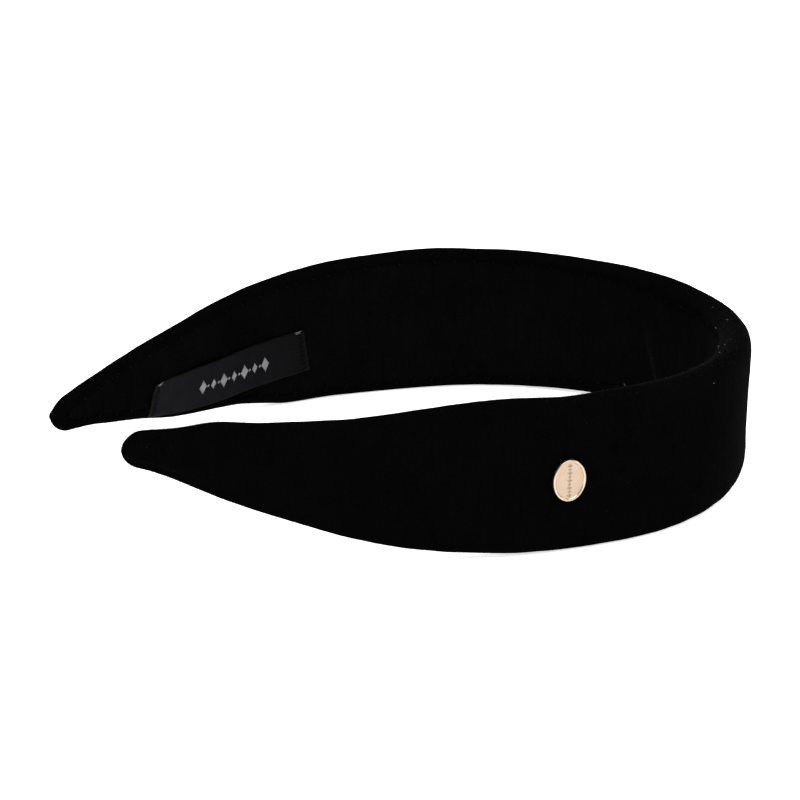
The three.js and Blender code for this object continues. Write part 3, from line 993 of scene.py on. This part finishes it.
def foam_ring(s):
    """The pad's section: flat on the core, crowned outside, ending where it gets too thin for foam."""
    edge_top = thickness(s) * edge_share(s)
    crown_height = thickness(s) - edge_top
    lacking = FOAM_OFFSET + FOAM_EDGE + LAYER_GAP + CLOTH_THICKNESS - edge_top
    full = np.maximum(1 - lacking / crown_height, 0) ** (1 / CROWNING_POWER)
    reach = np.minimum(np.where(lacking > 0, full, FOAM_REACH), FOAM_REACH)
    across = np.linspace(-1, 1, FOAM_COLUMNS)[None, :] * reach[:, None]
    height = across * (half_width(s) - edge_round(s))[:, None]
    crowning = crown_height[:, None] * (1 - np.abs(across) ** CROWNING_POWER)
    top = (edge_top - CLOTH_THICKNESS - FOAM_GAP)[:, None] + crowning
    return ring(top, np.full_like(top, FOAM_OFFSET)), ring(height, height)


def make_foam(side_name, sign):
    s = np.linspace(0, HALF_LENGTH - FOAM_END, FOAM_ROWS) * sign
    offset, height = foam_ring(s)
    points = place(s[:, None], offset, height)
    piece = mesh_object(f"foam_sheet_{side_name}_half", points, tube_faces(*offset.shape), foam_grey)
    if sign > 0:
        cut_plaque_pocket(piece)
    tidy_mesh(piece, shade_smooth=False)
    finish_half(piece, "foam_pad", side_name, sign)


def boolean_cut(piece, cutter):
    cut = piece.modifiers.new("cut", "BOOLEAN")
    cut.operation = "DIFFERENCE"
    cut.solver = "EXACT"
    cut.object = cutter
    apply_modifiers(piece)
    bpy.data.objects.remove(cutter)


PLAQUE_S = 95.5


def plaque_matrix():
    """The plaque's own frame on the band: x along the band, y up, z outwards from the head-side face."""
    point, normal = plan(np.array([PLAQUE_S]))
    skew = TIP_SKEW * (PLAQUE_S / HALF_LENGTH) ** TIP_SKEW_POWER
    out = Vector((normal[0, 0], normal[0, 1], 0))
    up = Vector((0, 0, 1))
    along = up.cross(out)
    basis = Matrix((along, up, out)).transposed().to_4x4()
    middle = Vector(ORIGIN) + Vector((point[0, 0], point[0, 1], skew))
    return Matrix.Translation(middle * MM) @ basis @ Matrix.Scale(MM, 4)


def stacked_ovals(name, levels, material, count=72):
    """A closed body from (width, height, z) ovals in the plaque's frame, in mm, from bottom to top."""
    turn = np.linspace(0, 2 * math.pi, count, endpoint=False)
    circle = np.stack([np.cos(turn) / 2, np.sin(turn) / 2, np.ones(count)], -1)
    points = np.concatenate([circle * level for level in levels])
    piece = mesh_object(name, points, tube_faces(len(levels), count), material)
    piece.data.transform(plaque_matrix())
    return piece


def cut_plaque_pocket(foam):
    levels = [(*FOAM_POCKET["size"], FOAM_POCKET[end]) for end in ("floor", "top")]
    pocket = stacked_ovals("pocket_cutter", levels, None)
    tidy_mesh(pocket)
    tidy_mesh(foam)
    boolean_cut(foam, pocket)


for side_name, sign in SIDES:
    make_foam(side_name, sign)


# --- gold plaque ---

PLAQUE_SIZE = (8.1, 10.0)
PLAQUE_BASE = PAD_THICKNESS + LAYER_GAP
PLAQUE_FACE = PLAQUE_BASE + 0.8
RIM_TOP = PLAQUE_FACE + 0.3
RIM_WIDTH = 0.66


def rim_levels():
    """Ovals from the back edge, round the raised rim and down to the slightly dished face."""
    width, height = PLAQUE_SIZE
    profile = [
        (-0.25, PLAQUE_BASE), (0.0, PLAQUE_BASE + 0.12), (0.0, RIM_TOP - 0.22), (-0.04, RIM_TOP - 0.12),
        (-0.12, RIM_TOP - 0.04), (-0.24, RIM_TOP), (-0.40, RIM_TOP - 0.01), (-0.52, RIM_TOP - 0.08),
        (-0.58, RIM_TOP - 0.18), (-RIM_WIDTH, PLAQUE_FACE), (-0.9, PLAQUE_FACE - 0.015),
        (-1.6, PLAQUE_FACE - 0.03), (-2.4, PLAQUE_FACE - 0.04), (-3.2, PLAQUE_FACE - 0.045),
    ]
    return [(width + 2 * inset, height + 2 * inset, z) for inset, z in profile]


def lozenge(middle, half_across, half_up, low, high):
    corners = [(half_across, 0), (0, half_up), (-half_across, 0), (0, -half_up)]
    points = [(x, middle + y, z) for z in (low, high) for x, y in corners]
    return points, tube_faces(2, len(corners))


def engraving_cutter():
    """A plain column of lozenges, large in the middle and small at its ends."""
    parts = []
    for i in range(-4, 5):
        size = 0.48 - 0.12 * (i % 2)
        parts.append(lozenge(0.9 * i, 1.4 * size, size, PLAQUE_FACE - 0.12, PLAQUE_FACE + 0.4))
    cutter = mesh_object("engraving_cutter", *gather(parts), engraving_dark)
    cutter.data.transform(plaque_matrix())
    tidy_mesh(cutter, merge=1e-6, shade_smooth=False)
    return cutter


def finish_face(plaque):
    """The satin finish covers the flat face inside the polished rim; the engraving is darker."""
    to_plaque = plaque_matrix().inverted()
    face_index = plaque.data.materials.find("champagne_satin")
    dark_index = plaque.data.materials.find("engraving_dark")
    half_x, half_y = (size / 2 - RIM_WIDTH for size in PLAQUE_SIZE)
    for polygon in plaque.data.polygons:
        at = to_plaque @ polygon.center
        inside = (at.x / half_x) ** 2 + (at.y / half_y) ** 2 < 1
        if inside and PLAQUE_FACE - 0.2 < at.z < RIM_TOP:
            polygon.material_index = dark_index if at.z < PLAQUE_FACE - 0.055 else face_index


def prong(side):
    """A flat leg that goes through the cloth and is bent under the washer."""
    width, thick, foot = 1.2, 0.5, 1.6
    out, low = 2.6, 4.2
    inner, outer, top = out - thick / 2, out + thick / 2, PLAQUE_BASE + 0.1
    profile = [
        (outer, top), (outer, low + 0.15), (outer - 0.15, low), (out - foot, low),
        (out - foot, low + thick), (inner, low + thick), (inner, top),
    ]
    points = [(x, side * y, z) for x in (-width / 2, width / 2) for y, z in profile]
    return points, tube_faces(2, len(profile))


def make_plaque():
    plaque = stacked_ovals("gold_oval_plaque", rim_levels(), champagne_gold)
    plaque.data.materials.append(champagne_satin)
    plaque.data.materials.append(engraving_dark)
    tidy_mesh(plaque, merge=1e-6)
    boolean_cut(plaque, engraving_cutter())
    finish_face(plaque)
    sharpen(plaque, 40)
    legs = mesh_object("plaque_prongs", *gather([prong(1), prong(-1)]), champagne_gold)
    legs.data.transform(plaque_matrix())
    tidy_mesh(legs, merge=1e-6, shade_smooth=False)
    for piece in (plaque, legs):
        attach(piece, "plaque_arm")
    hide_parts("gold_plaque")


make_plaque()


# --- sewing thread ---

def stitch_path(at, sign, edge, rng):
    """One slip stitch over the join of lining and cover, in metres."""
    slant = 0.5 + rng.uniform(-0.2, 0.2)
    reach = STITCH_LENGTH * rng.uniform(0.8, 1.15)
    share = np.linspace(-1, 1, 7)
    s = sign * (at + slant * share)
    rim = float(lining_half(np.array([at]))[0]) + 0.1
    height = edge * (rim + 0.5 * reach * share)
    offset = -0.16 + 0.75 * share**4 + 0.12 * share
    return place(s, offset, height)


def make_edge_stitches(side_name, sign, edge_name, edge):
    rng = np.random.default_rng(SEED + sign * 2 + edge * 5)
    parts = [thread_tube(stitch_path(at, sign, edge, rng), STITCH_RADIUS * MM) for at in stitch_places()]
    piece = sewn_piece(f"edge_stitches_{edge_name}_{side_name}_half", parts, thread_black)
    finish_half(piece, f"edge_stitch_{edge_name}", side_name, sign)


for side_name, sign in SIDES:
    for edge_name, edge in EDGES:
        make_edge_stitches(side_name, sign, edge_name, edge)


# --- woven label ---

# Corners of the label as (distance from the crown, height); it is cut and folded a little unevenly.
LABEL_TOP = {"tip": (165.5, -1.3), "crown": (119.7, 2.1)}
LABEL_LOW = {"tip": (167.6, -9.2), "crown": (117.8, -8.8)}
LABEL_SAG = {"top": 0.3, "low": 1.7}
LABEL_SLACK = 1.0
LABEL_THICKNESS = 0.3
LABEL_BACK = -0.22


def over_the_edge(s, height):
    """How far outwards the label sinks where it laps over the band's round lower edge."""
    flank = half_width(s) - edge_round(s)
    turn = np.clip((np.abs(height) - flank) / edge_round(s), 0, 1)
    return thickness(s) * edge_share(s) / 2 * (1 - np.sqrt(1 - turn**2))


def label_point(along, across, lift=0.0):
    """along runs 0 to 1 from the tip end to the crown end, across -0.5 to 0.5; lift is mm off its face."""
    up = across + 0.5
    corner = {edge: [np.interp(along, (0, 1), (ends["tip"][k], ends["crown"][k])) for k in (0, 1)]
              for edge, ends in (("top", LABEL_TOP), ("low", LABEL_LOW))}
    hang = np.sin(math.pi * np.clip(along, 0, 1)) ** 1.3
    run = corner["low"][0] + (corner["top"][0] - corner["low"][0]) * up
    low = corner["low"][1] - LABEL_SAG["low"] * hang
    top = corner["top"][1] - LABEL_SAG["top"] * hang
    height = low + (top - low) * up
    slack = LABEL_SLACK * hang * (1 - 0.75 * up) + 0.12 * hang
    wave = 0.10 * np.sin(along * 17 + across * 3) + 0.07 * np.sin(along * 39 - across * 5)
    curl = 0.35 * smooth((0.07 - along) / 0.07) * smooth((up - 0.7) / 0.3)
    offset = LABEL_BACK - slack - np.abs(wave) - curl - lift
    return place(-run, offset + over_the_edge(run, height), height + 0.1 * np.sin(along * 11))


def make_label():
    rows, columns = 97, 23
    along = np.linspace(0, 1, rows)[:, None] * np.ones(columns)
    across = np.linspace(-0.5, 0.5, columns)[None, :] * np.ones((rows, 1))
    hem = 0.18 * (smooth((0.035 - along) / 0.012) + smooth((along - 0.965) / 0.012))
    selvedge = 0.05 * smooth((np.abs(across) - 0.455) / 0.03)
    front = label_point(along, across, LABEL_THICKNESS + hem + selvedge)
    back = label_point(along, across)
    label = mesh_object("woven_ribbon_label", ring(front, back), tube_faces(rows, 2 * columns), label_satin)
    add_ribbon_uv(label)
    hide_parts("woven_label")
    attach(label, "label_arm")


def add_ribbon_uv(piece):
    """UVs in mm: u along the ribbon, v across it."""
    start = label_point(np.array([0.0]), np.array([0.0]))[0]
    end = label_point(np.array([1.0]), np.array([0.0]))[0]
    along = (end - start) / np.linalg.norm(end - start)
    layer = piece.data.uv_layers.new(name="ribbon")
    corners = read(piece.data.loops, "vertex_index", kind=int)
    relative = (positions(piece)[corners] - start) / MM
    uv = np.stack([relative @ along, relative[:, 2]], -1)
    layer.data.foreach_set("uv", uv.astype(np.float32).ravel())
    for polygon in piece.data.polygons:
        polygon.use_smooth = True


make_label()


# A plain woven ornament in place of lettering: a row of lozenges with a dot between each two.
ORNAMENT_START = 0.325
ORNAMENT_END = 0.735
ORNAMENT_COUNT = 7
ORNAMENT_HEIGHT = -0.3
FLOAT_RADIUS = 0.085


def woven_figure(centre, half_along, half_up, pitch=0.2):
    """A lozenge filled with parallel satin floats of pale thread."""
    parts = []
    count = int(half_along / pitch)
    for i in range(-count, count + 1):
        reach = half_up * (1 - abs(i) * pitch / half_along)
        if reach < 0.12:
            continue
        share = np.linspace(-1, 1, 6)
        along = centre[0] + (i * pitch + 0.12 * share) / LABEL_LENGTH
        across = (centre[1] + reach * share) / LABEL_WIDTH
        lift = LABEL_THICKNESS + 0.03 + 0.05 * (1 - share**4)
        parts.append(thread_tube(label_point(along, across, lift), FLOAT_RADIUS * MM, sides=5))
    return parts


def make_ornament():
    parts = []
    stations = np.linspace(ORNAMENT_START, ORNAMENT_END, ORNAMENT_COUNT)
    gap = stations[1] - stations[0]
    for k, along in enumerate(stations):
        large = 1.0 if k % 2 == 0 else 0.72
        parts += woven_figure((along, ORNAMENT_HEIGHT), 1.15 * large, 1.75 * large)
        if k + 1 < ORNAMENT_COUNT:
            parts += woven_figure((along + gap / 2, ORNAMENT_HEIGHT), 0.34, 0.34, pitch=0.17)
    ornament = sewn_piece("label_woven_ornament", parts, label_pattern)
    add_ribbon_uv(ornament)
    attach(ornament, "label_arm")


make_ornament()


def label_stitch(along, across, reach, slant, crest, dip, radius):
    """A short stitch through the label, its ends dipping into the cloth."""
    share = np.linspace(-1, 1, 7)
    lift = LABEL_THICKNESS + crest - dip * share**4
    path = label_point(along + reach * share / LABEL_LENGTH, across + slant * share, lift)
    return thread_tube(path, radius * MM)


def make_tacks(end_name, along):
    """Small slanting stitches that hold one end of the label down."""
    rng = np.random.default_rng(SEED + 31)
    parts = []
    for across in np.linspace(-0.43, 0.43, 9):
        reach = 0.75 * rng.uniform(0.8, 1.1)
        at = along + rng.uniform(-0.1, 0.1) / LABEL_LENGTH
        parts.append(label_stitch(at, across, reach, slant=0.02, crest=0.26, dip=0.34, radius=0.12))
    piece = sewn_piece(f"label_stitches_{end_name}", parts, thread_black)
    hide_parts(f"label_tack_{end_name}")
    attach(piece, "label_arm")


def make_corner_stitches():
    """A paler loop of thread shows at each upper corner of the label."""
    parts = []
    for along in (0.03, 0.965):
        for across, reach in ((0.5, 1.15), (0.47, 0.9)):
            parts.append(label_stitch(along, across, reach, slant=0.008, crest=0.2, dip=0.3, radius=0.09))
    piece = sewn_piece("label_corner_stitches", parts, thread_grey)
    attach(piece, "label_arm")


make_corner_stitches()
make_tacks("tip_end", 0.022)
make_tacks("crown_end", 0.978)


# --- CAD parts that stay ---

def finish_cad_node(name, material):
    slots = frame["nodes"][name].material_slots
    for material_slot in slots:
        material_slot.material = material
    if not slots:
        frame["nodes"][name].data.materials.append(material)


for part in ("crown", "plaque_arm", "label_arm"):
    finish_cad_node(f"hoop_core_{part}", core_plastic)
finish_cad_node("plaque_washer", washer_steel)


# --- studio ---

def make_floor():
    nodes = Nodes("floor_paper")
    fibre = nodes.noise(1.5, detail=4)
    tint = nodes.ramp(fibre, [(0.3, (0.93, 0.93, 0.93)), (0.7, (0.95, 0.95, 0.95))])
    nodes.surface(tint, nodes.grey(fibre, 0.85, 0.95))
    nodes.set(Emission_Color=(1, 1, 1, 1), Emission_Strength=0.65)
    size = 25.0
    points = [(-size, -size, 0), (size, -size, 0), (size, size, 0), (-size, size, 0)]
    floor = mesh_object("floor", points, [[0, 1, 2, 3]], nodes.material)
    floor.location.z = -0.0001


def make_light(name, location, target, size, power):
    data = bpy.data.lights.new(name, "AREA")
    data.shape = "DISK"
    data.size = size
    data.energy = power
    light = new_object(name, data)
    light.location = location
    direction = Vector(target) - Vector(location)
    light.rotation_euler = direction.to_track_quat("-Z", "Y").to_euler()


def make_studio():
    make_floor()
    world = bpy.data.worlds.new("studio")
    world.use_nodes = True
    background = world.node_tree.nodes["Background"]
    background.inputs["Color"].default_value = (1, 1, 1, 1)
    background.inputs["Strength"].default_value = 0.8
    bpy.context.scene.world = world
    make_light("overhead", (-0.1, -0.3, 1.8), (0, 0, 0), 2.4, 42)
    make_light("side", (0.8, -0.25, 0.5), (0.03, 0, 0.02), 0.5, 2)
    bpy.context.scene.view_settings.view_transform = "Standard"


make_studio()


# --- camera ---

CAMERA_YAW = -20.57
CAMERA_ELEVATION = 19.36
CAMERA_ROLL = 1.2
CAMERA_DISTANCE = 744.0
CAMERA_LENS = 137.25
CAMERA_AIM = (-76.17, 0.0, 0.0)
CAMERA_ASIDE = 4.56
CAMERA_UP = 0.63


def make_camera():
    yaw, elevation, roll = (math.radians(a) for a in (CAMERA_YAW, CAMERA_ELEVATION, CAMERA_ROLL))
    level_forward = Vector((-math.sin(yaw), math.cos(yaw), 0))
    forward = level_forward * math.cos(elevation) - Vector((0, 0, math.sin(elevation)))
    level = Vector((math.cos(yaw), math.sin(yaw), 0))
    above = level.cross(forward)
    right = level * math.cos(roll) + above * math.sin(roll)
    up = above * math.cos(roll) - level * math.sin(roll)
    aim = Vector(CAMERA_AIM) + Vector(ORIGIN)
    eye = aim - forward * CAMERA_DISTANCE - right * CAMERA_ASIDE - up * CAMERA_UP
    data = bpy.data.cameras.new("camera")
    data.lens = CAMERA_LENS
    data.sensor_width = 36
    data.clip_start = 0.01
    camera = new_object("camera", data)
    rotation = Matrix((right, up, -forward)).transposed().to_4x4()
    camera.matrix_world = Matrix.Translation(eye * MM) @ rotation
    bpy.context.scene.camera = camera


make_camera()
